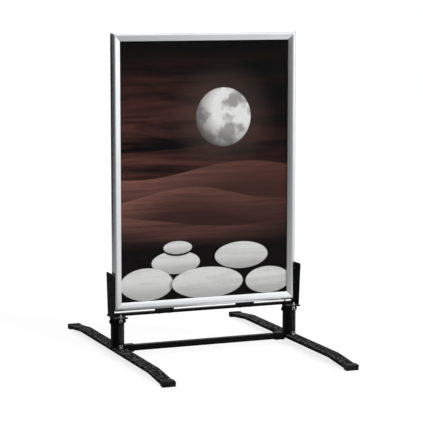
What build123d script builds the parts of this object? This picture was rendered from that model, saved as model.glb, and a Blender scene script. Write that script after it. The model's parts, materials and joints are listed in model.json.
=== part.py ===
from build123d import *
import os
from math import acos, atan2, cos, degrees, pi, radians, sin, sqrt, tan

# Spring sign stand for a poster on each side, in millimetres.
# X runs to the right, Y to the rear and Z up, from the floor under the middle of the stand.

# Poster, sheets and the outline of the frame
poster_width = 700.0
poster_height = 1000.0
poster_thickness = 0.4
poster_lap = 10.0
profile_face = 32.0
panel_thickness = 6.0
panel_edge_gap = 1.0
cover_thickness = 0.8
cover_edge_gap = 1.0

# Base rail of the frame: a box section with panel lips and a hinge bead on each side
rail_width = 14.0
rail_depth = 11.0
rail_wall = 1.5
lip_length = 5.0
lip_thickness = 1.8
panel_clearance = 0.2
hinge_depth = 10.0
bead_radius = 2.3
stem_length = 6.3
stem_width = 1.9
stem_angle = -25.0
connector_leg = 50.0
connector_clearance = 0.2

# Snap profile: a hook round the bead, a round shoulder, a sloping face and a lip that holds the sheets
hook_radius = 4.0
hinge_clearance = 0.1
hook_start = 25.0
hook_end = 222.0
crown_angle = 125.0
crown_radius = 14.0
face_angle = 75.0
nose_depth = 9.0
nose_bevel = 0.7
clip_wall = 1.9
clip_lip = 1.8
clip_gap = 0.4
mitre_gap = 0.25
clip_opening = 80.0
relief_margin = 5.0
leaf_thickness = 0.6
leaf_length = 50.0
leaf_foot = 2.6
leaf_clearance = 0.6
leaf_run = 6.0

# Legs and feet
leg_inset = 17.0
leg_width = 47.0
leg_height = 16.0
leg_corner = 4.0
leg_wall = 2.0
leg_half_length = 560.0
leg_bend = 400.0
leg_bend_radius = 150.0
leg_slope = 5.6
foot_sole = 1.5
foot_side = 1.5
foot_cover = 3.0
foot_corner = 3.5
foot_grip = 20.0
foot_end = 4.0
foot_round = 2.0
foot_recess = 0.8
foot_rim = 3.5
foot_clearance = 0.1

# Posts, pivot and crossbar
post_depth = 26.0
post_wall = 2.0
post_corner = 3.0
post_above_pivot = 7.0
plug_height = 3.0
plug_insert = 8.0
pivot_height = 131.0
pivot_bolt_radius = 4.0
pivot_clearance = 0.1
bush_wall = 2.0
crossbar_size = 22.0
crossbar_wall = 1.5
crossbar_lift = 1.0
socket_size = 28.0
socket_length = 40.0
socket_clearance = 0.5
crossbar_grip = 35.0

# Cradle brackets: side plate, rocker flange and pivot ears
side_gap = 6.0
plate_thickness = 4.0
plate_height = 168.0
plate_top_half = 47.0
plate_foot_half = 33.0
plate_corner = 5.0
flange_above_pivot = 16.0
flange_half_depth = 50.0
flange_corner = 3.0
fold_radius = 3.0
ear_thickness = 3.0
ear_gap = 0.4
ear_radius = 9.0
bar_depth = 20.0
bar_height = 10.0
bar_wall = 1.5
bar_end_gap = 5.0
pad_length = 70.0
pad_offset = 166.0
pad_height = 9.0
pad_step = 0.6
pad_rib_margin = 0.3

# Tension springs with the rings that hold them
spring_offset = 42.0
wire_diameter = 3.2
coil_diameter = 14.0
coil_turns = 14
hook_loop_radius = 5.0
hook_lead = 8.0
hook_clearance = 0.3
wire_sides = 6
eye_radius = 5.0
eye_wire = 3.5
eyebolt_radius = 3.0
eyebolt_drop = 9.5
eyebolt_end = 12.0
collar_radius = 4.5
anchor_foot_radius = 5.0
anchor_foot_height = 3.0

# Screws, spacers and nuts
screw_radius = 2.5
screw_head_radius = 4.5
screw_head_height = 3.0
screw_head_round = 1.4
screw_socket_width = 3.0
screw_socket_depth = 1.8
screw_clearance = 0.2
screw_bite = 8.0
pad_screw_spacing = 40.0
side_screw_low = 85.0
side_screw_high = 145.0
spacer_radius = 5.0
lock_screw_radius = 3.0
lock_screw_tip = 2.0
eyebolt_nut_width = 10.0
eyebolt_nut_height = 5.0
pivot_head_width = 13.0
pivot_head_height = 4.0
pivot_nut_height = 5.0
nut_clearance = 0.05

# Sizes that follow from those above
frame_width = poster_width + 2 * (profile_face - poster_lap)
frame_height = poster_height + 2 * (profile_face - poster_lap)
poster_face = panel_thickness / 2 + poster_thickness
cover_face = poster_face + cover_thickness
panel_lap = profile_face - rail_width - panel_edge_gap
cover_lap = profile_face - rail_width - lip_length - cover_edge_gap
hinge = (hook_radius, hinge_depth)
leg_x = frame_width / 2 - leg_inset
leg_drop = (leg_half_length - leg_bend) * tan(radians(leg_slope))
leg_end_z = foot_sole + leg_height / 2 / cos(radians(leg_slope))
leg_z = leg_end_z + leg_drop
leg_top = leg_z + leg_height / 2
crossbar_z = leg_z + crossbar_lift
post_width = leg_width
post_foot = leg_top - leg_corner
post_top = pivot_height + post_above_pivot
post_inner = leg_x - post_width / 2
post_outer = leg_x + post_width / 2
plate_inner = frame_width / 2 + side_gap
plate_outer = plate_inner + plate_thickness
flange_bottom = pivot_height + flange_above_pivot
flange_top = flange_bottom + plate_thickness
plate_top = flange_bottom + plate_height
bar_top = flange_top + bar_height
frame_bottom = bar_top + pad_height
frame_middle = frame_bottom + frame_height / 2
ear_inner = post_inner - ear_gap - ear_thickness
ear_outer = post_outer + ear_gap
bush_radius = pivot_bolt_radius + pivot_clearance + bush_wall
eyebolt_top = flange_top + eyebolt_end
bolt_eye_z = flange_bottom - eyebolt_drop
anchor_eye_z = leg_top + eye_radius + eye_wire / 2 + anchor_foot_height / 2
hook_low = anchor_eye_z + eye_radius - eye_wire / 2 - wire_diameter / 2 - hook_clearance
hook_high = bolt_eye_z - eye_radius + eye_wire / 2 + wire_diameter / 2 + hook_clearance
screw_hole = screw_radius + screw_clearance
side_screw_heights = (flange_bottom + side_screw_low, flange_bottom + side_screw_high)

# A frame member is drawn as the bottom one: its section's axes run inwards and to the front
section_plane = Plane(origin=(0, 0, 0), x_dir=(0, 0, 1), z_dir=(1, 0, 0))
frame_sides = {
    "bottom": (0, frame_width, frame_height / 2),
    "left": (90, frame_height, frame_width / 2),
    "top": (180, frame_width, frame_height / 2),
    "right": (-90, frame_height, frame_width / 2),
}


def polar(centre, radius, angle):
    return (centre[0] + radius * cos(radians(angle)), centre[1] + radius * sin(radians(angle)))


def bearing(centre, point):
    return degrees(atan2(point[1] - centre[1], point[0] - centre[0]))


def arc(centre, radius, start, end):
    return ThreePointArc(*[polar(centre, radius, angle) for angle in (start, (start + end) / 2, end)])


def upright(radius, low, high, x=0.0, y=0.0):
    return Pos(x, y, (low + high) / 2) * Cylinder(radius, high - low)


def crosswise(radius, left, right, y=0.0, z=0.0):
    return Pos((left + right) / 2, y, z) * Rot(0, 90, 0) * Cylinder(radius, right - left)


def hexagon(width, height):
    flat = width / 2
    corner = width / sqrt(3)
    bevel = (corner - flat) * tan(radians(30))
    side = Polygon((0, 0), (corner, 0), (corner, height - bevel), (flat, height), (0, height), align=None)
    return extrude(RegularPolygon(corner, 6), amount=height) & revolve(Plane.XZ * side, axis=Axis.Z)


def screw_head():
    head = upright(screw_head_radius, 0, screw_head_height)
    head = fillet(head.edges().group_by(Axis.Z)[-1], radius=screw_head_round)
    socket = extrude(RegularPolygon(screw_socket_width / sqrt(3), 6), amount=screw_socket_depth)
    return head - Pos(0, 0, screw_head_height - screw_socket_depth) * socket


def block(x, y, z):
    return Pos(sum(x) / 2, sum(y) / 2, sum(z) / 2) * Box(x[1] - x[0], y[1] - y[0], z[1] - z[0])


def left_copy(shape):
    return mirror(shape, about=Plane.YZ)


def group(solids):
    return Compound([solid for shape in solids for solid in shape.solids()])


# Frame members
def rail_section():
    groove = panel_thickness / 2 + panel_clearance
    stem_end = polar(hinge, stem_length, stem_angle)
    stem_middle = polar(hinge, stem_length / 2, stem_angle)
    rib_foot = rail_depth / 2 - rail_wall
    rib_top = stem_end[1] + stem_width / 2
    core = Rectangle(rail_width, rail_depth)
    core -= Rectangle(rail_width - 2 * rail_wall, rail_depth - 2 * rail_wall)
    lip = Rectangle(lip_length + rail_wall, lip_thickness)
    half = Pos(rail_width + (lip_length - rail_wall) / 2, groove + lip_thickness / 2) * lip
    half += Pos(*hinge) * Circle(bead_radius)
    half += Pos(*stem_middle) * Rot(0, 0, stem_angle) * Rectangle(stem_length, stem_width)
    half += Pos(stem_end[0], (rib_foot + rib_top) / 2) * Rectangle(stem_width, rib_top - rib_foot)
    return Pos(rail_width / 2, 0) * core + half + mirror(half, about=Plane.XZ)


def crown():
    return polar(hinge, hook_radius - crown_radius, crown_angle)


def sloping_face():
    start = polar(crown(), crown_radius, face_angle)
    nose = (profile_face - nose_bevel, nose_depth)
    across = (nose[0] - start[0], nose[1] - start[1])
    sink = across[0] * cos(radians(face_angle)) + across[1] * sin(radians(face_angle))
    radius = -(across[0] ** 2 + across[1] ** 2) / (2 * sink)
    return polar(start, -radius, face_angle), radius, nose


def clip_section():
    bore = bead_radius + hinge_clearance
    shoulder_centre = crown()
    shoulder_inner = crown_radius - clip_wall
    centre, radius, nose = sloping_face()
    inner_radius = radius - clip_wall
    inner_edge = profile_face - clip_lip
    inner_angle = degrees(acos((inner_edge - centre[0]) / inner_radius))
    reach = crown_radius - hook_radius
    spread = degrees(acos((shoulder_inner**2 - reach**2 - hook_radius**2) / (2 * reach * hook_radius)))
    join_angle = crown_angle - spread
    join = polar(hinge, hook_radius, join_angle)
    lip = cover_face + clip_gap
    bevel_end = (profile_face, nose_depth - 2 * nose_bevel)
    return make_face(
        [
            arc(hinge, hook_radius, hook_end, crown_angle),
            arc(shoulder_centre, crown_radius, crown_angle, face_angle),
            arc(centre, radius, face_angle, bearing(centre, nose)),
            Line(nose, bevel_end),
            Line(bevel_end, (profile_face, lip)),
            Line((profile_face, lip), (inner_edge, lip)),
            Line((inner_edge, lip), polar(centre, inner_radius, inner_angle)),
            arc(centre, inner_radius, inner_angle, face_angle),
            arc(shoulder_centre, shoulder_inner, face_angle, bearing(shoulder_centre, join)),
            arc(hinge, hook_radius, join_angle, hook_start),
            Line(polar(hinge, hook_radius, hook_start), polar(hinge, bore, hook_start)),
            arc(hinge, bore, hook_start, hook_end),
            Line(polar(hinge, bore, hook_end), polar(hinge, hook_radius, hook_end)),
        ]
    )


def leaf_section():
    centre, radius, nose = sloping_face()
    foot = rail_depth / 2
    start = rail_width - leaf_foot
    tip = rail_width + leaf_run
    touch = centre[1] + sqrt((radius - clip_wall) ** 2 - (tip - centre[0]) ** 2) - leaf_clearance
    return Polygon(
        (start, foot),
        (rail_width, foot),
        (tip, touch - leaf_thickness / 2),
        (tip - leaf_thickness, touch),
        (rail_width - leaf_thickness / 2, foot + leaf_thickness),
        (start, foot + leaf_thickness),
        align=None,
    )


def mitred(section, length, gap):
    bar = extrude(section_plane * section, amount=length / 2, both=True)
    half = length / 2 - gap * sqrt(2)
    spare = hook_radius
    top = profile_face + spare
    outline = Polygon(
        (-half - spare, -spare), (half + spare, -spare), (half - top, top), (top - half, top), align=None
    )
    return bar & extrude(Plane.XZ * outline, amount=2 * profile_face, both=True)


def on_frame(side, shape):
    turn, length, reach = frame_sides[side]
    return Pos(0, 0, frame_middle) * Rot(0, turn, 0) * Pos(0, 0, -reach) * shape


def rail(side):
    turn, length, reach = frame_sides[side]
    return on_frame(side, mitred(rail_section(), length, 0))


def hook_relief(length):
    first = 180 - clip_opening / 2 - relief_margin
    last = hook_end + relief_margin
    corners = [polar(hinge, 2 * hook_radius, angle) for angle in (first, (first + last) / 2, last)]
    depth = hook_radius * (1 + cos(radians(hook_end + clip_opening))) + 2 * mitre_gap
    wedge = extrude(section_plane * Polygon(hinge, *corners, align=None), amount=depth)
    return Pos(length / 2 - depth, 0, 0) * wedge


def clip(side, face):
    turn, length, reach = frame_sides[side]
    relief = hook_relief(length)
    front = mitred(clip_section(), length, mitre_gap) - relief - left_copy(relief)
    return on_frame(side, front if face == "front" else Rot(0, 0, 180) * front)


def snap_springs():
    leaf = extrude(section_plane * leaf_section(), amount=leaf_length / 2, both=True)
    leaves = []
    for side, (turn, length, reach) in frame_sides.items():
        for shift in (-length / 4, length / 4):
            for face_turn in (0, 180):
                leaves.append(on_frame(side, Pos(shift, 0, 0) * Rot(0, 0, face_turn) * leaf))
    return group(leaves)


def corner_connectors():
    inset = rail_wall + connector_clearance
    wide = rail_width - 2 * inset
    deep = rail_depth / 2 - inset
    left = -frame_width / 2 + inset
    low = frame_bottom + inset
    corner = block((left, left + connector_leg), (-deep, deep), (low, low + wide))
    corner += block((left, left + wide), (-deep, deep), (low, low + connector_leg))
    bottom = [corner, left_copy(corner)]
    middle = Plane(origin=(0, 0, frame_middle), z_dir=(0, 0, 1))
    return group(bottom + [mirror(shape, about=middle) for shape in bottom])


def sheet(lap, near, far):
    wide = poster_width / 2 - poster_lap + lap
    high = poster_height / 2 - poster_lap + lap
    return block((-wide, wide), (near, far), (frame_middle - high, frame_middle + high))


# Legs, feet and posts
def leg_path():
    ends = leg_half_length
    points = [(0, -ends, leg_end_z), (0, -leg_bend, leg_z), (0, leg_bend, leg_z), (0, ends, leg_end_z)]
    return FilletPolyline(*points, radius=leg_bend_radius)


def leg_outline(grow=0.0):
    return RectangleRounded(leg_width + 2 * grow, leg_height + 2 * grow, leg_corner + grow)


def leg():
    path = leg_path()
    start = Plane(origin=path @ 0, x_dir=(1, 0, 0), z_dir=path % 0)
    tube = leg_outline() - leg_outline(-leg_wall)
    return Pos(leg_x, 0, 0) * sweep(start * tube, path=path)


def foot():
    path = leg_path()
    end = Plane(origin=path @ 1, x_dir=(1, 0, 0), z_dir=path % 1)
    wide = leg_width + 2 * foot_side
    high = leg_height + 2 * foot_cover
    outer = RectangleRounded(wide, high, foot_corner)
    inner = leg_outline(foot_clearance)
    cap = extrude(end * outer, amount=foot_end) + extrude(end * outer, amount=-foot_grip)
    tip = cap.faces().sort_by_distance(end.origin + end.z_dir * foot_end)[0]
    cap = fillet(tip.edges(), radius=foot_round)
    cap -= extrude(end * inner, amount=-foot_grip)
    face = RectangleRounded(wide - 2 * foot_rim, high - 2 * foot_rim, foot_corner / 2)
    cap -= extrude(end * Pos(0, 0, foot_end - foot_recess) * face, amount=foot_recess)
    reach = leg_half_length + foot_grip
    ground = block((-leg_width, leg_width), (0, 2 * reach), (-leg_height, 0))
    return Pos(leg_x, 0, 0) * (cap - ground)


def leg_core():
    core = extrude(Plane.XZ * leg_outline(), amount=2 * post_depth, both=True)
    return Pos(leg_x, 0, leg_z) * core


def post():
    outer = RectangleRounded(post_width, post_depth, post_corner)
    inner = Rectangle(post_width - 2 * post_wall, post_depth - 2 * post_wall)
    tube = Pos(leg_x, 0, post_foot) * extrude(outer - inner, amount=post_top - post_foot)
    beyond = (post_inner - post_wall, post_outer + post_wall)
    hole = crosswise(bush_radius + nut_clearance, *beyond, z=pivot_height)
    return tube - leg_core() - hole


def post_plug():
    margin = post_wall + connector_clearance
    inside = Rectangle(post_width - 2 * margin, post_depth - 2 * margin)
    plug = extrude(RectangleRounded(post_width, post_depth, post_corner), amount=plug_height)
    plug = Pos(leg_x, 0, post_top) * (plug + extrude(inside, amount=-plug_insert))
    saddle = crosswise(bush_radius + connector_clearance, post_inner, post_outer, z=pivot_height)
    return plug - saddle


def pivot_bush():
    bore = crosswise(pivot_bolt_radius + pivot_clearance, post_inner, post_outer, z=pivot_height)
    return crosswise(bush_radius, post_inner, post_outer, z=pivot_height) - bore


def square_tube(size, bore, left, right):
    half = size / 2
    inner = bore / 2
    outside = block((left, right), (-half, half), (crossbar_z - half, crossbar_z + half))
    return outside - block((left, right), (-inner, inner), (crossbar_z - inner, crossbar_z + inner))


def lock_hole(x):
    return upright(lock_screw_radius + screw_clearance, crossbar_z - socket_size, crossbar_z, x=x)


def crossbar_socket():
    bore = crossbar_size + 2 * socket_clearance
    return square_tube(socket_size, bore, post_inner - socket_length, post_inner) - lock_hole(lock_x())


def lock_x():
    return post_inner - socket_length + crossbar_grip / 2


def lower_crossbar():
    end = post_inner - socket_length + crossbar_grip
    tube = square_tube(crossbar_size, crossbar_size - 2 * crossbar_wall, -end, end)
    return tube - lock_hole(lock_x()) - lock_hole(-lock_x())


def crossbar_screws():
    under = crossbar_z - socket_size / 2
    tip = crossbar_z - crossbar_size / 2 + crossbar_wall + lock_screw_tip
    screw = Pos(lock_x(), 0, under) * Rot(180, 0, 0) * screw_head()
    screw += upright(lock_screw_radius, under, tip, x=lock_x())
    return group([screw, left_copy(screw)])


# Cradle
def side_plate():
    outline = Polygon(
        (-plate_foot_half, flange_bottom),
        (plate_foot_half, flange_bottom),
        (plate_top_half, plate_top),
        (-plate_top_half, plate_top),
        align=None,
    )
    outline = fillet(outline.vertices().group_by(Axis.Y)[-1], radius=plate_corner)
    return Pos(plate_inner, 0, 0) * extrude(Plane.YZ * outline, amount=plate_thickness)


def ear(inner):
    rise = flange_bottom - pivot_height
    outline = Pos(0, pivot_height) * Circle(ear_radius)
    outline += Pos(0, pivot_height + rise / 2) * Rectangle(2 * ear_radius, rise)
    outline -= Pos(0, pivot_height) * Circle(pivot_bolt_radius + pivot_clearance)
    return Pos(inner, 0, 0) * extrude(Plane.YZ * outline, amount=ear_thickness)


def bracket():
    flange_middle = (ear_inner + plate_outer) / 2
    outline = RectangleRounded(plate_outer - ear_inner, 2 * flange_half_depth, flange_corner)
    body = Pos(flange_middle, 0, flange_bottom) * extrude(outline, amount=plate_thickness)
    body += side_plate()
    fold = body.edges().filter_by(Axis.Y).sort_by_distance((plate_inner, 0, flange_top))[0]
    body = fillet(fold, radius=fold_radius)
    body += ear(ear_inner) + ear(ear_outer)
    for y in (-spring_offset, spring_offset):
        body -= upright(eyebolt_radius + screw_clearance, flange_bottom, flange_top, x=leg_x, y=y)
    for z in side_screw_heights:
        body -= crosswise(screw_hole, plate_inner, plate_outer, z=z)
    return body


def pivot_bolt():
    head = ear_outer + ear_thickness
    tail = ear_inner - pivot_nut_height
    bolt = crosswise(pivot_bolt_radius, tail, head, z=pivot_height)
    return bolt + Pos(head, 0, pivot_height) * Rot(0, 90, 0) * hexagon(pivot_head_width, pivot_head_height)


def pivot_nuts():
    nut = hexagon(pivot_head_width, pivot_nut_height)
    nut -= upright(pivot_bolt_radius + nut_clearance, 0, pivot_nut_height)
    nut = Pos(ear_inner, 0, pivot_height) * Rot(0, -90, 0) * nut
    return group([nut, left_copy(nut)])


def at_springs(shape):
    places = [(x, y) for x in (-leg_x, leg_x) for y in (-spring_offset, spring_offset)]
    return group([Pos(x, y, 0) * shape for x, y in places])


def ring(height):
    return Pos(0, 0, height) * Rot(90, 0, 0) * Torus(eye_radius, eye_wire / 2)


def spring_eyebolts():
    crest = bolt_eye_z + eye_radius
    bolt = ring(bolt_eye_z) + upright(eyebolt_radius, crest, eyebolt_top)
    return at_springs(bolt + upright(collar_radius, crest, flange_bottom))


def eyebolt_nuts():
    nut = hexagon(eyebolt_nut_width, eyebolt_nut_height)
    nut -= upright(eyebolt_radius + nut_clearance, 0, eyebolt_nut_height)
    return at_springs(Pos(0, 0, flange_top) * nut)


def spring_anchors():
    foot_disc = upright(anchor_foot_radius, leg_top, leg_top + anchor_foot_height)
    return at_springs(ring(anchor_eye_z) + foot_disc)


def upper_bar():
    end = plate_inner - bar_end_gap
    half = bar_depth / 2
    hollow = half - bar_wall
    tube = block((-end, end), (-half, half), (flange_top, bar_top))
    tube -= block((-end, end), (-hollow, hollow), (flange_top + bar_wall, bar_top - bar_wall))
    for x in pad_screw_places():
        tube -= upright(screw_hole, flange_top, bar_top, x=x)
    return tube


def pad_screw_places():
    half = pad_screw_spacing / 2
    return [pad + shift for pad in (-pad_offset, pad_offset) for shift in (-half, half)]


def support_pad():
    half = bar_depth / 2
    rib = rail_depth / 2 - pad_rib_margin
    ends = (pad_offset - pad_length / 2, pad_offset + pad_length / 2)
    pad = block(ends, (-half, half), (bar_top, frame_bottom - pad_step))
    pad += block(ends, (-rib, rib), (bar_top, frame_bottom))
    for shift in (-pad_screw_spacing / 2, pad_screw_spacing / 2):
        pad -= upright(screw_hole, bar_top, frame_bottom, x=pad_offset + shift)
    return pad


def pad_screws():
    screw = Pos(0, 0, flange_top) * Rot(180, 0, 0) * screw_head()
    screw += upright(screw_radius, flange_top, frame_bottom + screw_bite)
    return group([Pos(x, 0, 0) * screw for x in pad_screw_places()])


def bottom_rail():
    body = rail("bottom")
    for x in pad_screw_places():
        body -= upright(screw_hole, frame_bottom - rail_wall, frame_bottom + 2 * rail_wall, x=x)
    return body


def right_rail():
    body = rail("right")
    face = frame_width / 2
    for z in side_screw_heights:
        body -= crosswise(screw_hole, face - 2 * rail_wall, face + rail_wall, z=z)
    return body


def side_spacers():
    face = frame_width / 2
    spacer = crosswise(spacer_radius, face, plate_inner) - crosswise(screw_hole, face, plate_inner)
    right = [Pos(0, 0, z) * spacer for z in side_screw_heights]
    return group(right + [left_copy(shape) for shape in right])


def side_screws():
    screw = Pos(plate_outer, 0, 0) * Rot(0, 90, 0) * screw_head()
    screw += crosswise(screw_radius, frame_width / 2 - screw_bite, plate_outer)
    right = [Pos(0, 0, z) * screw for z in side_screw_heights]
    return group(right + [left_copy(shape) for shape in right])


# Tension springs
def biarc(start, start_run, end, end_run):
    chord = end - start
    total = start_run + end_run
    bend = 2 * (1 - start_run.dot(end_run))
    along = chord.dot(total)
    reach = (sqrt(along**2 + bend * chord.dot(chord)) - along) / bend
    joint = (start + start_run * reach + end - end_run * reach) * 0.5
    first = TangentArc(start, joint, tangent=start_run)
    return [first, TangentArc(joint, end, tangent=first % 1)]


def hook_stations(half):
    centre = hook_loop_radius - half
    stations = []
    for angle in (30, -40, -110, -180):
        y, z = polar((0, centre), hook_loop_radius, angle)
        stations.append((Vector(0, y, z), Vector(0, sin(radians(angle)), -cos(radians(angle)))))
    return stations


def coil_stations(half):
    start_angle = -60
    quarters = 4 * coil_turns + 4 / 3
    low = hook_loop_radius + hook_lead - half
    radius = coil_diameter / 2
    rise = -2 * low / quarters
    angles = [start_angle + 90 * step for step in range(4 * coil_turns + 1)]
    angles += [angles[-1] + 60, angles[-1] + 120]
    stations = []
    for angle in angles:
        x, y = polar((0, 0), radius, angle)
        z = low + rise * (angle - start_angle) / 90
        run = Vector(-sin(radians(angle)), cos(radians(angle)), rise / (radius * pi / 2))
        stations.append((Vector(x, y, z), run.normalized()))
    return stations


def spring_path():
    half = (hook_high - hook_low) / 2
    lower = hook_stations(half)
    upper = [(Vector(p.X, -p.Y, -p.Z), Vector(-t.X, t.Y, t.Z)) for p, t in reversed(lower)]
    stations = lower + coil_stations(half) + upper
    edges = []
    for (start, start_run), (end, end_run) in zip(stations, stations[1:]):
        edges += biarc(start, start_run, end, end_run)
    return edges


def least_gap(edges, samples=6):
    points = [edge @ (step / samples) for edge in edges for step in range(samples)]
    spacing = [0.0]
    for one, other in zip(points, points[1:]):
        spacing.append(spacing[-1] + (other - one).length)
    apart = 2 * pi * hook_loop_radius / 2
    gaps = []
    for index, point in enumerate(points):
        for other in range(index + 1, len(points)):
            if spacing[other] - spacing[index] > apart:
                gaps.append((points[other] - point).length)
    return min(gaps) - wire_diameter


def spring():
    edges = spring_path()
    print("spring: least gap to itself %.2f mm" % least_gap(edges))
    path = Wire(edges)
    start = Plane(origin=path @ 0, x_dir=(1, 0, 0), z_dir=path % 0)
    wire = RegularPolygon(wire_diameter / 2, wire_sides)
    return Pos(0, 0, (hook_low + hook_high) / 2) * sweep(start * wire, path=path)


# All pieces by name
def build():
    nodes = {}
    pairs = {
        "leg": leg(),
        "post": post(),
        "post_plug": post_plug(),
        "pivot_bush": pivot_bush(),
        "crossbar_socket": crossbar_socket(),
        "bracket": bracket(),
        "pivot_bolt": pivot_bolt(),
        "support_pad": support_pad(),
        "rail": right_rail(),
    }
    for name, shape in pairs.items():
        nodes["right_" + name] = shape
        nodes["left_" + name] = left_copy(shape)
    rear_foot = foot()
    front_foot = mirror(rear_foot, about=Plane.XZ)
    for name, shape in (("rear_foot", rear_foot), ("front_foot", front_foot)):
        nodes["right_" + name] = shape
        nodes["left_" + name] = left_copy(shape)
    coil = spring()
    for hand, x in (("left", -leg_x), ("right", leg_x)):
        for face, y in (("front", -spring_offset), ("rear", spring_offset)):
            nodes["%s_%s_spring" % (hand, face)] = Pos(x, y, 0) * coil
    nodes["lower_crossbar"] = lower_crossbar()
    nodes["crossbar_screws"] = crossbar_screws()
    nodes["spring_anchors"] = spring_anchors()
    nodes["spring_eyebolts"] = spring_eyebolts()
    nodes["eyebolt_nuts"] = eyebolt_nuts()
    nodes["pivot_nuts"] = pivot_nuts()
    nodes["upper_bar"] = upper_bar()
    nodes["pad_screws"] = pad_screws()
    nodes["side_spacers"] = side_spacers()
    nodes["side_screws"] = side_screws()
    nodes["bottom_rail"] = bottom_rail()
    nodes["top_rail"] = rail("top")
    nodes["corner_connectors"] = corner_connectors()
    nodes["snap_springs"] = snap_springs()
    nodes["core_panel"] = sheet(panel_lap, -panel_thickness / 2, panel_thickness / 2)
    for face, sign in (("front", -1), ("rear", 1)):
        layers = [sign * depth for depth in (panel_thickness / 2, poster_face, cover_face)]
        nodes[face + "_poster"] = sheet(poster_lap, *sorted(layers[:2]))
        nodes[face + "_cover"] = sheet(cover_lap, *sorted(layers[1:]))
        for side in frame_sides:
            nodes["%s_%s_clip" % (face, side)] = clip(side, face)
    return nodes


os.makedirs("parts", exist_ok=True)
for node, shape in build().items():
    export_step(shape, "parts/%s.step" % node)
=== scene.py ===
import json
import math

import bmesh
import bpy
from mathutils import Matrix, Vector


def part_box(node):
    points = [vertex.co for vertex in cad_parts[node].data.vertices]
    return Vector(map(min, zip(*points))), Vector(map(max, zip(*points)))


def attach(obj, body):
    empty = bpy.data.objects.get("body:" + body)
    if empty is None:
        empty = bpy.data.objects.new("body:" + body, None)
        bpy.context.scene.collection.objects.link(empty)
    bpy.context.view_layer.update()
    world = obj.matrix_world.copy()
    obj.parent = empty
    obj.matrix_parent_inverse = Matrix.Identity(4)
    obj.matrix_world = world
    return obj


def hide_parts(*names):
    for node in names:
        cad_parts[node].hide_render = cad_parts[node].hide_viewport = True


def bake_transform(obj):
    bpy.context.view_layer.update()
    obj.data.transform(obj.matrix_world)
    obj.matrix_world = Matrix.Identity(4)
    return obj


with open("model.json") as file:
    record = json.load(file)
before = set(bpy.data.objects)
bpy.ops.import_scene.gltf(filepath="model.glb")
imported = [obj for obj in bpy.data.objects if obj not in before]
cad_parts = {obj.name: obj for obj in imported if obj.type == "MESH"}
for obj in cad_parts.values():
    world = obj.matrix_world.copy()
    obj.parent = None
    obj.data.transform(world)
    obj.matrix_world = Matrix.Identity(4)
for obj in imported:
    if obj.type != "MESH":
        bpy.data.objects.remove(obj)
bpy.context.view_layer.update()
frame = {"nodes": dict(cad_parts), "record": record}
nodes = frame["nodes"]
scene = bpy.context.scene
MM = 0.001

# Most of a noise texture's values lie in this range
NOISE_RANGE = (0.3, 0.7)

# Sockets of a Mix node, which have the same names for numbers and for colours
MIX_AMOUNT, MIX_NUMBERS, MIX_COLOURS = 0, (2, 3), (6, 7)
MIX_NUMBER_OUT, MIX_COLOUR_OUT = 0, 2


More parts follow.
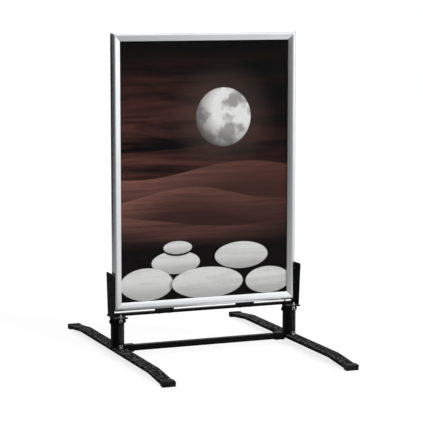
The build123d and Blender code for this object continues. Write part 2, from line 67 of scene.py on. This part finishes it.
# Node trees
class Tree:
    """A material with one Principled shader, and short calls for the nodes that feed it."""

    def __init__(self, name):
        self.material = bpy.data.materials.new(name)
        self.material.use_nodes = True
        self.tree = self.material.node_tree
        self.shader = self.tree.nodes["Principled BSDF"]
        self.output = self.tree.nodes["Material Output"]
        self.place = None

    def node(self, kind, **settings):
        made = self.tree.nodes.new(kind)
        for key, value in settings.items():
            setattr(made, key, value)
        return made

    def feed(self, socket, value):
        """Link a socket to the value's socket, or set it to a number or a colour."""
        if isinstance(value, bpy.types.NodeSocket):
            self.tree.links.new(value, socket)
            return
        colour = hasattr(socket.default_value, "__len__") and len(socket.default_value) == 4
        socket.default_value = (*value, 1.0) if colour and len(value) == 3 else value

    def set(self, **values):
        """Feed the Principled shader's sockets, with _ for the spaces in their names."""
        for key, value in values.items():
            self.feed(self.shader.inputs[key.replace("_", " ")], value)

    def coords(self):
        if self.place is None:
            self.place = self.node("ShaderNodeTexCoord").outputs["Object"]
        return self.place

    def scaled(self, x, y, z):
        made = self.node("ShaderNodeMapping")
        self.feed(made.inputs["Vector"], self.coords())
        made.inputs["Scale"].default_value = (x, y, z)
        return made.outputs["Vector"]

    def axes(self):
        made = self.node("ShaderNodeSeparateXYZ")
        self.feed(made.inputs[0], self.coords())
        return made.outputs

    def facing_up(self):
        """The share of each face that looks up: one on a level top, zero on a side."""
        made = self.node("ShaderNodeSeparateXYZ")
        self.feed(made.inputs[0], self.node("ShaderNodeTexCoord").outputs["Normal"])
        return made.outputs["Z"]

    def noise(self, scale, detail=2.0, rough=0.5, vector=None, warp=0.0):
        """Noise with about scale patches to the metre, or to the unit of the vector."""
        made = self.node("ShaderNodeTexNoise")
        self.feed(made.inputs["Vector"], vector or self.coords())
        made.inputs["Scale"].default_value = scale
        made.inputs["Detail"].default_value = detail
        made.inputs["Roughness"].default_value = rough
        made.inputs["Distortion"].default_value = warp
        return made.outputs["Fac"]

    def math(self, operation, first, second=0.0):
        made = self.node("ShaderNodeMath", operation=operation)
        self.feed(made.inputs[0], first)
        self.feed(made.inputs[1], second)
        return made.outputs[0]

    def times(self, first, second):
        return self.math("MULTIPLY", first, second)

    def span(self, value, low, high, start=0.0, end=1.0, kind="LINEAR"):
        """The value, mapped from low and high to start and end, and held there beyond them."""
        made = self.node("ShaderNodeMapRange", interpolation_type=kind)
        keys = ("Value", "From Min", "From Max", "To Min", "To Max")
        for key, entry in zip(keys, (value, low, high, start, end)):
            self.feed(made.inputs[key], entry)
        return made.outputs[0]

    def blend(self, amount, *colours):
        """The first colour where the amount is zero, and the second where it is one."""
        made = self.node("ShaderNodeMix", data_type="RGBA")
        self.feed(made.inputs[MIX_AMOUNT], amount)
        for socket, colour in zip(MIX_COLOURS, colours):
            self.feed(made.inputs[socket], colour)
        return made.outputs[MIX_COLOUR_OUT]

    def bump(self, height, distance, strength, under=None):
        made = self.node("ShaderNodeBump")
        made.inputs["Strength"].default_value = strength
        made.inputs["Distance"].default_value = distance
        self.feed(made.inputs["Height"], height)
        if under is not None:
            self.feed(made.inputs["Normal"], under)
        return made.outputs[0]


# Materials
def anodised(name, along):
    """Satin silver extrusion: drawn lines run along the given axis, with faint cloudy patches."""
    tree = Tree(name)
    lines_across, lines_along = 1400.0, 5.0
    drawn_share, cloud_share = 0.55, 0.45
    dull_rough, bright_rough = 0.27, 0.19
    stretch = [lines_across] * 3
    stretch[along] = lines_along
    drawn = tree.noise(1.0, detail=3.0, rough=0.6, vector=tree.scaled(*stretch))
    cloud = tree.noise(9.0, detail=3.0)
    tone = tree.math("ADD", tree.times(drawn, drawn_share), tree.times(cloud, cloud_share))
    shade = tree.span(tone, *NOISE_RANGE)
    tree.set(
        Base_Color=tree.blend(shade, (0.69, 0.70, 0.71), (0.79, 0.80, 0.81)),
        Metallic=1.0,
        Roughness=tree.span(tone, *NOISE_RANGE, dull_rough, bright_rough),
        Normal=tree.bump(drawn, 0.02 * MM, 0.35),
    )
    return tree.material


def powder_coat(name, dark, pale, rough, shine, top_light_and_dust):
    """Black powder coat: a fine orange-peel skin, scattered painted glints, and paler patches on
    the upper faces that are dust and painted top light.
    """
    tree = Tree(name)
    # Scattered specks, four times brighter than the pale tone, are painted glints in the colour
    uneven, painted_glint_gain = 0.12, 4.0
    painted_glint = tuple(painted_glint_gain * tone for tone in pale)
    cloud = tree.noise(26.0, detail=4.0, rough=0.6)
    mottle = tree.noise(320.0, detail=3.0, rough=0.7)
    peel = tree.noise(1100.0, rough=0.55)
    film = tree.span(tree.noise(280.0, detail=5.0, rough=0.8), 0.40, 0.68)
    # Upper faces turn paler in patches: dust, and painted light falling on the tops
    dust = tree.times(tree.span(tree.facing_up(), 0.35, 0.9), film)
    base = tree.blend(tree.span(cloud, *NOISE_RANGE), dark, pale)
    base = tree.blend(tree.span(mottle, 0.54, 0.68), base, painted_glint)
    tree.set(
        Base_Color=tree.blend(dust, base, top_light_and_dust),
        Roughness=tree.span(mottle, *NOISE_RANGE, rough + uneven, rough - uneven),
        Specular_IOR_Level=shine,
        Normal=tree.bump(mottle, 0.4 * MM, 0.5, under=tree.bump(peel, 0.12 * MM, 0.5)),
    )
    return tree.material


def hammered_coat(name, dark, painted_glint_colour, worn_and_lit_edge, rough, shine):
    """Black hammer finish: shallow cells, about half of them carrying painted glints, and wear with
    a painted highlight on the rounded edges.
    """
    tree = Tree(name)
    cells_per_metre = 220.0
    cell_stretch = 0.36
    jitter = 3.0 * MM
    uneven = 0.1

    # Cells, drawn out along the leg and with ragged borders
    ripple = tree.node("ShaderNodeTexNoise")
    tree.feed(ripple.inputs["Vector"], tree.coords())
    ripple.inputs["Scale"].default_value = 190.0
    ripple.inputs["Detail"].default_value = 4.0
    ragged = tree.node("ShaderNodeVectorMath", operation="MULTIPLY_ADD")
    tree.feed(ragged.inputs[0], ripple.outputs["Color"])
    ragged.inputs[1].default_value = (jitter, jitter, jitter)
    tree.feed(ragged.inputs[2], tree.scaled(1.0, cell_stretch, 1.0))
    cells = tree.node("ShaderNodeTexVoronoi", feature="F1")
    tree.feed(cells.inputs["Vector"], ragged.outputs[0])
    cells.inputs["Scale"].default_value = cells_per_metre
    dimple = cells.outputs["Distance"]

    # About half of the cells carry a painted glint, brightest in their middles, and broken up by
    # grit
    chance = tree.node("ShaderNodeSeparateXYZ")
    tree.feed(chance.inputs[0], cells.outputs["Color"])
    painted_glint_cell = tree.times(tree.span(chance.outputs["X"], 0.47, 1.0), tree.span(dimple, 0.70, 0.20))
    grit = tree.noise(420.0, detail=5.0, rough=0.8)
    painted_glint_cell = tree.times(painted_glint_cell, tree.span(grit, 0.42, 0.56))

    # Scratches and a painted edge highlight lie on the faces between level and upright, which are
    # the rounded edges
    up = tree.facing_up()
    edge = tree.times(tree.span(up, 0.30, 0.55), tree.span(up, 0.95, 0.75))
    streaks = tree.noise(1.0, detail=4.0, rough=0.75, vector=tree.scaled(420.0, 95.0, 420.0))
    edge_wear_and_highlight = tree.times(edge, tree.span(streaks, 0.47, 0.62))
    tree.set(
        Base_Color=tree.blend(edge_wear_and_highlight, tree.blend(painted_glint_cell, dark, painted_glint_colour), worn_and_lit_edge),
        Roughness=tree.span(grit, *NOISE_RANGE, rough + uneven, rough - uneven),
        Specular_IOR_Level=shine,
        Normal=tree.bump(dimple, 1.6 * MM, 0.6),
    )
    return tree.material


def moulded(name, dark, pale, rough, grain):
    """Moulded plastic or rubber with a fine eroded grain and a little dust."""
    tree = Tree(name)
    uneven = 0.12
    skin = tree.noise(grain, detail=3.0, rough=0.65)
    dust = tree.span(tree.noise(38.0, detail=5.0, rough=0.7), 0.5, 0.75)
    tree.set(
        Base_Color=tree.blend(dust, dark, pale),
        Roughness=tree.span(skin, *NOISE_RANGE, rough, rough + uneven),
        Specular_IOR_Level=0.15,
        Normal=tree.bump(skin, 0.08 * MM, 0.4),
    )
    return tree.material


def plated(name, dark, pale, rough):
    """Plated or bare bright steel with cloudy crystals."""
    tree = Tree(name)
    smoother, rougher = 0.05, 0.1
    crystal = tree.noise(420.0, detail=3.0, rough=0.6)
    cloud = tree.noise(90.0)
    tree.set(
        Base_Color=tree.blend(tree.span(cloud, *NOISE_RANGE), dark, pale),
        Metallic=1.0,
        Roughness=tree.span(crystal, *NOISE_RANGE, rough - smoother, rough + rougher),
        Normal=tree.bump(crystal, 0.03 * MM, 0.3),
    )
    return tree.material


def board(name):
    """White foamed board with a faint grain."""
    tree = Tree(name)
    grain = tree.noise(600.0, detail=3.0)
    tree.set(
        Base_Color=tree.blend(grain, (0.80, 0.80, 0.78), (0.88, 0.88, 0.86)),
        Roughness=0.6,
        Normal=tree.bump(grain, 0.05 * MM, 0.2),
    )
    return tree.material


def clear_sheet(name):
    """Clear antiglare cover: mostly open, with a soft low sheen on its outer faces."""
    tree = Tree(name)
    sheen_index = 1.07
    smooth, hazy = 0.18, 0.28
    sheen = tree.node("ShaderNodeBsdfGlossy")
    tree.feed(sheen.inputs["Roughness"], tree.span(tree.noise(900.0), *NOISE_RANGE, smooth, hazy))
    tree.feed(sheen.inputs["Color"], (1.0, 1.0, 1.0))
    through = tree.node("ShaderNodeBsdfTransparent")
    tree.feed(through.inputs["Color"], (0.975, 0.98, 0.98))
    edge = tree.node("ShaderNodeFresnel")
    edge.inputs["IOR"].default_value = sheen_index
    inside = tree.node("ShaderNodeNewGeometry").outputs["Backfacing"]
    mixed = tree.node("ShaderNodeMixShader")
    tree.feed(mixed.inputs[0], tree.times(edge.outputs[0], tree.math("SUBTRACT", 1.0, inside)))
    tree.feed(mixed.inputs[1], through.outputs[0])
    tree.feed(mixed.inputs[2], sheen.outputs[0])
    tree.feed(tree.output.inputs["Surface"], mixed.outputs[0])
    return tree.material


# The print, in metres from the poster's middle and its lower edge
poster_sides = (-0.35, 0.36)
moon_middle = (0.075, 0.70)
moon_shade_middle = (0.115, 0.735)
moon_radius, moon_shade_radius, halo_radius = 0.112, 0.150, 0.24

# Softness of an outline, as a share of the shape's own size
moon_edge, stone_edge, stone_shadow_edge = 0.012, 0.014, 0.06

# Dunes: level, swing, waves, shift, colour of the crest and of the trough
dunes = [
    (0.500, 0.030, 7.0, 0.4, (0.215, 0.092, 0.074), (0.045, 0.019, 0.016)),
    (0.410, 0.028, 9.0, 2.1, (0.225, 0.096, 0.078), (0.030, 0.014, 0.012)),
    (0.305, 0.024, 6.0, 4.0, (0.170, 0.075, 0.062), (0.010, 0.006, 0.006)),
]
dune_fall = 0.10
dune_edge = 0.0008

# Stones, the rear ones first: middle across, middle up, half width, half height
stones = [
    (-0.120, 0.150, 0.098, 0.044),
    (0.150, 0.165, 0.110, 0.052),
    (-0.112, 0.207, 0.058, 0.025),
    (-0.238, 0.072, 0.106, 0.062),
    (0.262, 0.062, 0.094, 0.052),
    (0.010, 0.066, 0.146, 0.060),
]
stone_shadow_drop, stone_shadow_wider, stone_shadow_taller = 0.006, 1.04, 1.06
stone_light, stone_dark = (0.70, 0.69, 0.68), (0.42, 0.415, 0.41)
stone_speck, stone_vein = (0.36, 0.355, 0.35), (0.36, 0.35, 0.34)


def poster_print(name, side):
    """A made-up night scene: red-brown clouds, a moon over dunes, and pale stones in front."""
    tree = Tree(name)
    x, _, z = tree.axes()
    across = tree.times(x, side)
    height = tree.math("SUBTRACT", z, poster_low)

    def away(value, middle, half):
        return tree.math("DIVIDE", tree.math("SUBTRACT", value, middle), half)

    def oval(cx, cz, rx, rz):
        """Zero in the middle of an oval and one on its outline."""
        dx, dz = away(across, cx, rx), away(height, cz, rz)
        return tree.math("SQRT", tree.math("ADD", tree.times(dx, dx), tree.times(dz, dz)))

    def lay(under, shape, edge, colour):
        return tree.blend(tree.span(shape, 1.0 - edge, 1.0 + edge, 1.0, 0.0), under, colour)

    # Clouds
    bands = tree.noise(1.0, detail=5.0, rough=0.6, vector=tree.scaled(1.6, 1.0, 15.0), warp=0.5)
    lit = tree.times(tree.span(across, *poster_sides, 1.0, 0.12), tree.span(height, 0.97, 0.55))
    cloud = tree.times(tree.span(bands, 0.38, 0.66), lit)
    picture = tree.blend(cloud, (0.0030, 0.0026, 0.0028), (0.125, 0.046, 0.037))

    # Moon and its halo
    halo = oval(*moon_middle, halo_radius, halo_radius)
    halo = tree.span(halo, 0.4, 1.0, 0.16, 0.0, kind="SMOOTHSTEP")
    picture = tree.blend(halo, picture, (0.20, 0.13, 0.11))
    seas = tree.span(tree.noise(15.0, detail=3.0, rough=0.55), 0.46, 0.60)
    moon = tree.blend(seas, (0.78, 0.77, 0.75), (0.33, 0.32, 0.31))
    shadow = tree.span(oval(*moon_shade_middle, moon_shade_radius, moon_shade_radius), 0.55, 1.05)
    moon = tree.blend(shadow, moon, (0.10, 0.09, 0.085))
    picture = lay(picture, oval(*moon_middle, moon_radius, moon_radius), moon_edge, moon)

    # Dunes, each darker from its crest down and to the right
    ripple = tree.noise(1.0, detail=4.0, rough=0.65, vector=tree.scaled(4.0, 1.0, 75.0), warp=0.4)
    ripple = tree.span(ripple, 0.66, 0.34, 0.45, 1.0)
    for level, swing, waves, shift, crest, trough in dunes:
        wave = tree.math("SINE", tree.math("ADD", tree.times(across, waves), shift))
        line = tree.math("ADD", tree.times(wave, swing), level)
        depth = tree.math("SUBTRACT", line, height)
        falling = tree.span(depth, 0.0, dune_fall, 1.0, 0.1)
        shade = tree.times(falling, tree.span(across, *poster_sides, 1.0, 0.22))
        sand = tree.blend(tree.times(shade, ripple), trough, crest)
        picture = tree.blend(tree.span(depth, -dune_edge, dune_edge), picture, sand)
    picture = tree.blend(tree.span(height, 0.245, 0.20), picture, (0.0055, 0.0045, 0.0045))

    # Stones, each over its own soft shadow
    specks = tree.span(tree.noise(170.0, detail=4.0, rough=0.7), 0.52, 0.66, 0.0, 0.25)
    veins = tree.noise(1.0, detail=3.0, vector=tree.scaled(3.0, 1.0, 34.0), warp=1.2)
    veins = tree.times(tree.span(veins, 0.49, 0.56), 0.22)
    for cx, cz, rx, rz in stones:
        rising = tree.span(away(height, cz, rz), -0.95, 0.35, kind="SMOOTHSTEP")
        stone = tree.blend(rising, stone_dark, stone_light)
        stone = tree.blend(specks, stone, stone_speck)
        stone = tree.blend(veins, stone, stone_vein)
        below = cz - stone_shadow_drop
        shadow = oval(cx, below, rx * stone_shadow_wider, rz * stone_shadow_taller)
        picture = lay(picture, shadow, stone_shadow_edge, (0.003, 0.0025, 0.0025))
        picture = lay(picture, oval(cx, cz, rx, rz), stone_edge, stone)

    grain = tree.times(tree.noise(1300.0, rough=0.7), 0.02)
    picture = tree.blend(grain, picture, (0.10, 0.09, 0.085))
    tree.set(Base_Color=picture, Roughness=0.6, Specular_IOR_Level=0.03)
    return tree.material


poster_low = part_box("front_poster")[0][2]
silver_x = anodised("silver_lengthwise", 0)
silver_z = anodised("silver_upright", 2)
# Paler tones for upper faces: dust and painted top light, strongest on the brackets' flanges
faint_top_light_and_dust = (0.030, 0.0295, 0.029)
strong_top_light_and_dust = (0.13, 0.128, 0.126)
coat_black = {"dark": (0.0016, 0.0015, 0.0016), "pale": (0.0030, 0.0029, 0.0030)}
black_coat = powder_coat(
    "black_powder_coat", **coat_black, rough=0.5, shine=0.06, top_light_and_dust=faint_top_light_and_dust
)
bracket_coat = powder_coat(
    "black_bracket_coat", **coat_black, rough=0.5, shine=0.06, top_light_and_dust=strong_top_light_and_dust
)
leg_coat = hammered_coat(
    "black_hammered_coat",
    dark=(0.003, 0.003, 0.003),
    painted_glint_colour=(0.28, 0.28, 0.28),
    worn_and_lit_edge=(0.20, 0.198, 0.195),
    rough=0.70,
    shine=0.02,
)
spring_coat = powder_coat(
    "black_spring_wire",
    dark=(0.006, 0.006, 0.0063),
    pale=(0.010, 0.010, 0.0105),
    rough=0.40,
    shine=0.4,
    top_light_and_dust=faint_top_light_and_dust,
)
black_plastic = moulded(
    "black_moulded_plastic", (0.006, 0.006, 0.006), (0.018, 0.0176, 0.0172), rough=0.5, grain=900.0
)
black_rubber = moulded(
    "black_rubber", (0.004, 0.004, 0.004), (0.010, 0.0098, 0.0095), rough=0.68, grain=500.0
)
grey_nylon = moulded("dark_nylon", (0.10, 0.10, 0.105), (0.15, 0.15, 0.15), rough=0.42, grain=700.0)
zinc = plated("zinc_plate", (0.60, 0.60, 0.57), (0.74, 0.74, 0.72), rough=0.28)
leaf_steel = plated("leaf_steel", (0.50, 0.50, 0.50), (0.62, 0.62, 0.62), rough=0.24)
panel_board = board("white_board")
cover_sheet = clear_sheet("clear_cover")
prints = {
    "front_poster": poster_print("front_print", 1.0),
    "rear_poster": poster_print("rear_print", -1.0),
}

by_slot = {
    "black_steel": black_coat,
    "zinc_steel": zinc,
    "spring_wire": spring_coat,
    "leaf_steel": leaf_steel,
    "black_plastic": black_plastic,
    "black_rubber": black_rubber,
    "grey_nylon": grey_nylon,
    "white_panel": panel_board,
    "clear_sheet": cover_sheet,
}


def paint(obj, material):
    obj.data.materials.clear()
    obj.data.materials.append(material)


for entry in frame["record"]["subparts"]:
    node = entry["node"]
    if node in prints:
        chosen = prints[node]
    elif node.endswith("_leg"):
        chosen = leg_coat
    elif node.endswith("_bracket"):
        chosen = bracket_coat
    elif entry["material_slot"] == "silver_aluminium":
        chosen = silver_x if "top" in node or "bottom" in node else silver_z
    else:
        chosen = by_slot[entry["material_slot"]]
    paint(nodes[node], chosen)


# New pieces
def mesh_piece(name, build, material, body=None, instead=()):
    """A smooth mesh object made by build, riding on a body and standing for the nodes instead."""
    mesh = bpy.data.meshes.new(name)
    made = bmesh.new()
    build(made)
    bmesh.ops.recalc_face_normals(made, faces=made.faces)
    made.to_mesh(mesh)
    made.free()
    piece = bpy.data.objects.new(name, mesh)
    scene.collection.objects.link(piece)
    for face in mesh.polygons:
        face.use_smooth = True
    paint(piece, material)
    if body:
        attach(piece, body)
    if instead:
        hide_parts(*instead)
    return piece


def tube(made, points, radius, sides=14):
    """A closed round bar along the points."""
    rings = []
    side = None
    for index, point in enumerate(points):
        before = points[max(index - 1, 0)]
        after = points[min(index + 1, len(points) - 1)]
        run = (after - before).normalized()
        if side is None:
            side = run.orthogonal().normalized()
        side = (side - run * side.dot(run)).normalized()
        other = run.cross(side)
        ring = []
        for step in range(sides):
            angle = 2 * math.pi * step / sides
            outward = side * math.cos(angle) + other * math.sin(angle)
            ring.append(made.verts.new(point + outward * radius))
        rings.append(ring)
    for low, high in zip(rings, rings[1:]):
        for step in range(sides):
            after = (step + 1) % sides
            made.faces.new((low[step], low[after], high[after], high[step]))
    made.faces.new(rings[0])
    made.faces.new(rings[-1])


def spring_points(half, loop, lead, radius, turns):
    """Hook, coil and hook of one tension spring about its middle, in metres."""
    steps_per_turn, hook_steps, bridge_steps = 32, 22, 10
    coil_start, hook_start, hook_sweep = -60, 30, -210

    low = loop + lead - half
    coil = []
    steps = round(turns * steps_per_turn)
    for step in range(steps + 1):
        angle = math.radians(coil_start) + 2 * math.pi * turns * step / steps
        rise = low - 2 * low * step / steps
        coil.append(Vector((radius * math.cos(angle), radius * math.sin(angle), rise)))

    hook = []
    for step in range(hook_steps + 1):
        angle = math.radians(hook_start + hook_sweep * step / hook_steps)
        hook.append(Vector((0, loop * math.cos(angle), loop - half + loop * math.sin(angle))))

    # A cubic leads from the end of the hook into the coil
    reach = (coil[0] - hook[-1]).length
    leave = Vector((0, 0, 1)) * reach
    arrive = (coil[1] - coil[0]).normalized() * reach
    bridge = []
    for step in range(1, bridge_steps):
        t = step / bridge_steps
        bridge.append(
            hook[-1] * (2 * t**3 - 3 * t**2 + 1)
            + leave * (t**3 - 2 * t**2 + t)
            + coil[0] * (3 * t**2 - 2 * t**3)
            + arrive * (t**3 - t**2)
        )
    start = hook + bridge
    end = [Vector((point.x, -point.y, -point.z)) for point in reversed(start)]
    return start + coil + end


def cover_sheet_skins(made, low, high, side):
    """A thin clear sheet with a slight bow, just inside the room in front of its poster."""
    columns, rows = 20, 28
    edge = 0.02 * MM
    thickness = 0.42 * MM
    bow_depth, bow_waver = 0.12 * MM, 0.04 * MM
    waves_across, waves_up = 9.0, 5.0
    outer = low[1] + edge if side < 0 else high[1] - edge

    def corner(column, row, depth):
        u, v = column / columns, row / rows
        waver = bow_depth + bow_waver * math.sin(waves_across * u + waves_up * v)
        bow = math.sin(math.pi * u) * math.sin(math.pi * v) * waver
        x = low[0] + edge + (high[0] - low[0] - 2 * edge) * u
        z = low[2] + edge + (high[2] - low[2] - 2 * edge) * v
        return made.verts.new((x, outer - side * (depth + bow), z))

    def skin_of(depth):
        lines = range(rows + 1)
        return [[corner(column, row, depth) for column in range(columns + 1)] for row in lines]

    skins = [skin_of(depth) for depth in (0.0, thickness)]
    for skin in skins:
        for one, other in zip(skin, skin[1:]):
            for column in range(columns):
                made.faces.new((one[column], one[column + 1], other[column + 1], other[column]))

    def rim(skin):
        upright = [line[-1] for line in skin[1:]] + list(reversed(skin[-1][:-1]))
        return skin[0] + upright + [line[0] for line in reversed(skin[1:-1])]

    first, second = (rim(skin) for skin in skins)
    for index in range(len(first)):
        after = (index + 1) % len(first)
        made.faces.new((first[index], first[after], second[after], second[index]))


for face, side in (("front", -1), ("rear", 1)):
    node = face + "_cover"
    low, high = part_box(node)
    mesh_piece(
        face + "_clear_cover",
        lambda made: cover_sheet_skins(made, low, high, side),
        cover_sheet,
        body="sign",
        instead=(node,),
    )

spring_wire = 3.2 * MM
hook_loop = 5.0 * MM
hook_lead = 8 * MM
coil_radius = 7 * MM
coil_turns = 43 / 3
for hand in ("left", "right"):
    for face in ("front", "rear"):
        node = "%s_%s_spring" % (hand, face)
        low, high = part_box(node)
        middle = (Vector(low) + Vector(high)) / 2
        half = (high[2] - low[2]) / 2 - spring_wire / 2
        line = spring_points(half, hook_loop, hook_lead, coil_radius, coil_turns)
        points = [middle + point for point in line]
        coil = mesh_piece(
            node.replace("spring", "coil"),
            lambda made: tube(made, points, spring_wire / 2),
            spring_coat,
            instead=(node,),
        )
        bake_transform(coil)


# Floor, light and camera
def ray_levels(tree, rest, seen, mirrored):
    """The level for most rays, for those that show the surroundings, and for those off a gloss."""
    path = tree.nodes.new("ShaderNodeLightPath")
    rays = {"Is Camera Ray": seen, "Is Transmission Ray": seen, "Is Glossy Ray": mirrored}
    level = rest
    for name, value in rays.items():
        pick = tree.nodes.new("ShaderNodeMix")
        tree.links.new(path.outputs[name], pick.inputs[MIX_AMOUNT])
        for socket, entry in zip(MIX_NUMBERS, (level, value)):
            if isinstance(entry, float):
                pick.inputs[socket].default_value = entry
            else:
                tree.links.new(entry, pick.inputs[socket])
        level = pick.outputs[MIX_NUMBER_OUT]
    return level


def sweep_of_light(tree, edges, dark, bright):
    """Dark at the first bearing about the object and bright at the last, in degrees from +X."""
    x, y, _ = tree.axes()
    bearing = tree.math("ARCTAN2", tree.times(y, -1.0), tree.times(x, -1.0))
    start, end = (math.radians(edge - 180.0) for edge in edges)
    sweep = tree.span(bearing, start, end, kind="SMOOTHSTEP")
    return tree.span(sweep, 0.0, 1.0, dark, bright)


def floor(half_size, paper_tone, glow, edges, dark, bright):
    """Pale paper that takes the object's shadow, and is darker to the left in reflections."""

    def build(made):
        bmesh.ops.create_grid(made, x_segments=1, y_segments=1, size=half_size)

    tree = Tree("floor_paper")
    paper = tree.node("ShaderNodeBsdfDiffuse")
    tree.feed(paper.inputs["Color"], (paper_tone, paper_tone, paper_tone))
    shine = tree.node("ShaderNodeEmission")
    mirrored = sweep_of_light(tree, edges, dark, bright)
    tree.feed(shine.inputs["Strength"], ray_levels(tree.tree, 0.0, glow, mirrored))
    both = tree.node("ShaderNodeAddShader")
    tree.feed(both.inputs[0], paper.outputs[0])
    tree.feed(both.inputs[1], shine.outputs[0])
    tree.feed(tree.output.inputs["Surface"], both.outputs[0])
    mesh_piece("floor", build, tree.material)


def world_light(strength):
    """A white surround for the rays that see it, and a softer light on everything else."""
    world = bpy.data.worlds.new("studio")
    scene.world = world
    world.use_nodes = True
    tree = world.node_tree
    back = tree.nodes["Background"]
    back.inputs["Color"].default_value = (1.0, 1.0, 1.0, 1.0)
    tree.links.new(ray_levels(tree, strength, 1.0, 1.0), back.inputs["Strength"])


def reflection_screen(
    radius, height, bearings, edges, dark, bright, fade, rise, shaded_edges, shaded
):
    """A curved screen that only reflections see: darkest behind on the left, paler to the right."""
    segments = 48
    first, last = bearings

    def build(made):
        posts = []
        for step in range(segments + 1):
            angle = math.radians(first + (last - first) * step / segments)
            foot = (radius * math.cos(angle), radius * math.sin(angle))
            posts.append([made.verts.new((*foot, level)) for level in (0.0, height)])
        for one, other in zip(posts, posts[1:]):
            made.faces.new((one[0], other[0], other[1], one[1]))

    tree = Tree("screen_cloth")
    z = tree.axes()[2]
    low_light, high_light = (tree.span(z, 0.0, fade, *levels) for levels in (dark, bright))
    round_about = sweep_of_light(tree, edges, low_light, high_light)
    overhead = tree.span(z, *rise, 0.0, bright[1], kind="SMOOTHSTEP")
    light = tree.math("MAXIMUM", round_about, overhead)
    glow = tree.node("ShaderNodeEmission")
    shade = sweep_of_light(tree, shaded_edges, shaded, 1.0)
    tree.feed(glow.inputs["Strength"], tree.times(light, shade))
    tree.feed(tree.output.inputs["Surface"], glow.outputs[0])
    screen = mesh_piece("reflection_screen", build, tree.material)
    screen.visible_camera = False
    screen.visible_diffuse = False
    screen.visible_transmission = False
    screen.visible_shadow = False


def lamp(name, kind, place, power, size, mirrored=False):
    """A lamp aimed at the object: size is a sun's angle, or an area's width and height."""
    data = bpy.data.lights.new(name, kind)
    data.energy = power
    if kind == "AREA":
        data.shape = "RECTANGLE"
        data.size, data.size_y = size
    else:
        data.angle = size
    obj = bpy.data.objects.new(name, data)
    scene.collection.objects.link(obj)
    obj.location = place
    obj.rotation_euler = (Vector(aim) - Vector(place)).to_track_quat("-Z", "Y").to_euler()
    obj.visible_glossy = mirrored


def camera(place, pitch, turn, focal_pixels, picture_pixels):
    """The photograph's view, with its focal length in pixels of a picture of this width."""
    data = bpy.data.cameras.new("camera")
    data.sensor_width = 36.0
    data.lens = data.sensor_width * focal_pixels / picture_pixels
    data.clip_end = 200.0
    obj = bpy.data.objects.new("camera", data)
    scene.collection.objects.link(obj)
    obj.location = place
    obj.rotation_euler = (math.pi / 2 - pitch, 0.0, -turn)
    scene.camera = obj


aim = (0.0, 0.0, 0.6)
light_edges = (250.0, 320.0)
floor(half_size=60.0, paper_tone=0.22, glow=0.77, edges=light_edges, dark=0.04, bright=0.60)
world_light(0.5)
reflection_screen(
    radius=3.2,
    height=3.0,
    bearings=(95.0, 350.0),
    edges=light_edges,
    dark=(0.20, 0.03),
    bright=(0.85, 1.4),
    fade=0.9,
    rise=(1.4, 1.9),
    shaded_edges=(120.0, 190.0),
    shaded=0.25,
)
lamp("key", "SUN", place=(2.2, -4.0, 3.2), power=2.3, size=math.radians(30.0))
lamp("back", "SUN", place=(-1.6, 4.0, 3.4), power=1.3, size=math.radians(40.0))
lamp("fill", "AREA", place=(-2.4, -5.0, 2.4), power=25.0, size=(2.6, 2.6))
lamp("top", "AREA", place=(0.6, 0.4, 4.4), power=60.0, size=(3.0, 2.4), mirrored=True)
camera(
    place=(-2.3734, -6.0298, 1.3756),
    pitch=0.1295,
    turn=0.3789,
    focal_pixels=1711.0,
    picture_pixels=423.0,
)
scene.view_settings.view_transform = "Standard"
